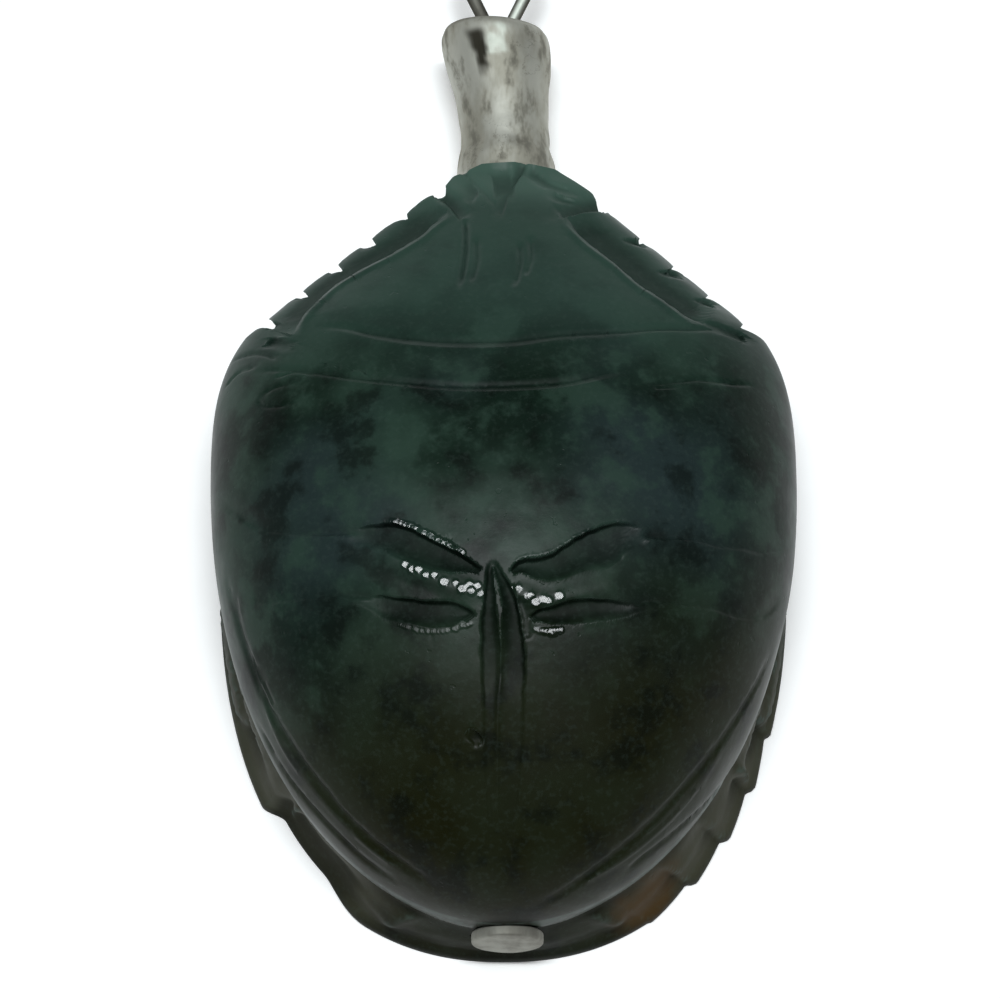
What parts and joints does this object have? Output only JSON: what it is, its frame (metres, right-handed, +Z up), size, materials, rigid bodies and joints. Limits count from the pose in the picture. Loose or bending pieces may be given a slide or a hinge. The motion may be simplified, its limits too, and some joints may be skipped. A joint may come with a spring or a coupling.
{
  "type": "scarab seal",
  "caption": "Carved stone scarab seal with a flat oval seal face, drilled from head to tail and held on a silver wire pin with a flared collar tube and an end loop.",
  "frame": {"origin": "centre of the flat seal face, which the part lies on", "axes": "+Y from the tail to the head and on along the tube and loop, +Z up out of the beetle's back, +X to its right seen from above with the head away"},
  "size_m": [0.0161, 0.0302, 0.009],
  "materials": {
    "green_jasper": "dark green mottled hardstone, polished",
    "worn_silver": "hand-worked silver, softly hammered and slightly tarnished",
    "drawn_silver_wire": "drawn silver wire, bright, with a matt flat head"
  },
  "bodies": {
    "root": {"scarab_stone": "green_jasper", "silver_tube": "worn_silver", "silver_headpin": "drawn_silver_wire"}
  },
  "joints": []
}
